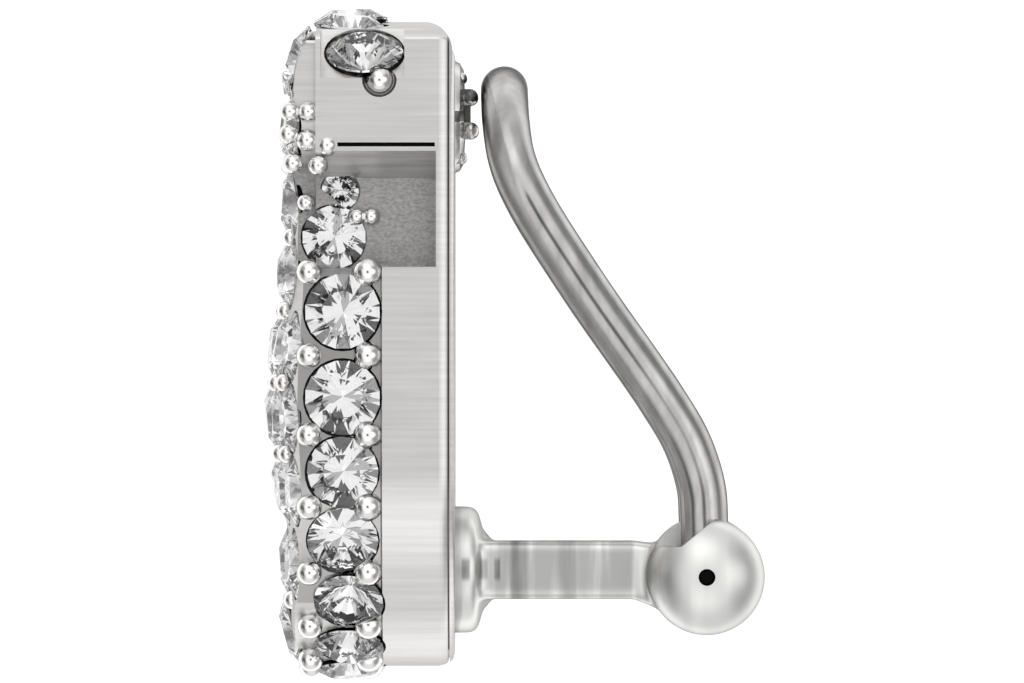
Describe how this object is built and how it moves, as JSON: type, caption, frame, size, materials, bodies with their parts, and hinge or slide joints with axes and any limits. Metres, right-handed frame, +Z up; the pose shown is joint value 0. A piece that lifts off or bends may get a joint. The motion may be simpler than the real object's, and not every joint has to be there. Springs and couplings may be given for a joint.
{
  "type": "clip-on crystal earring",
  "caption": "Clip-on earring: a domed ornament paved with round crystals, a plain metal wall and back, and a hinged wire loop that clips on the ear.",
  "frame": {"origin": "middle of the footprint of the earring lying on its side", "axes": "+X from the paved front to the clip behind, +Y towards the earring's top, +Z up, across the earring's width"},
  "size_m": [0.015, 0.02, 0.0154],
  "materials": {
    "plated_metal": "polished rhodium plate, satin on the side walls",
    "crystal": "colourless faceted crystal held by metal beads",
    "wire_metal": "polished drawn wire",
    "pin_metal": "plain steel"
  },
  "bodies": {
    "earring": {"setting": "plated_metal", "crystal_pave": "crystal", "hinge_pin": "pin_metal"},
    "clip": {"omega_wire": "wire_metal"}
  },
  "joints": [
    {"name": "clip_hinge", "type": "hinge", "parent": "earring", "child": "clip", "pos_m": [0.00577, -0.00694, 0.00772], "axis": [0, 0, -1], "range_deg": [0, 90]}
  ]
}
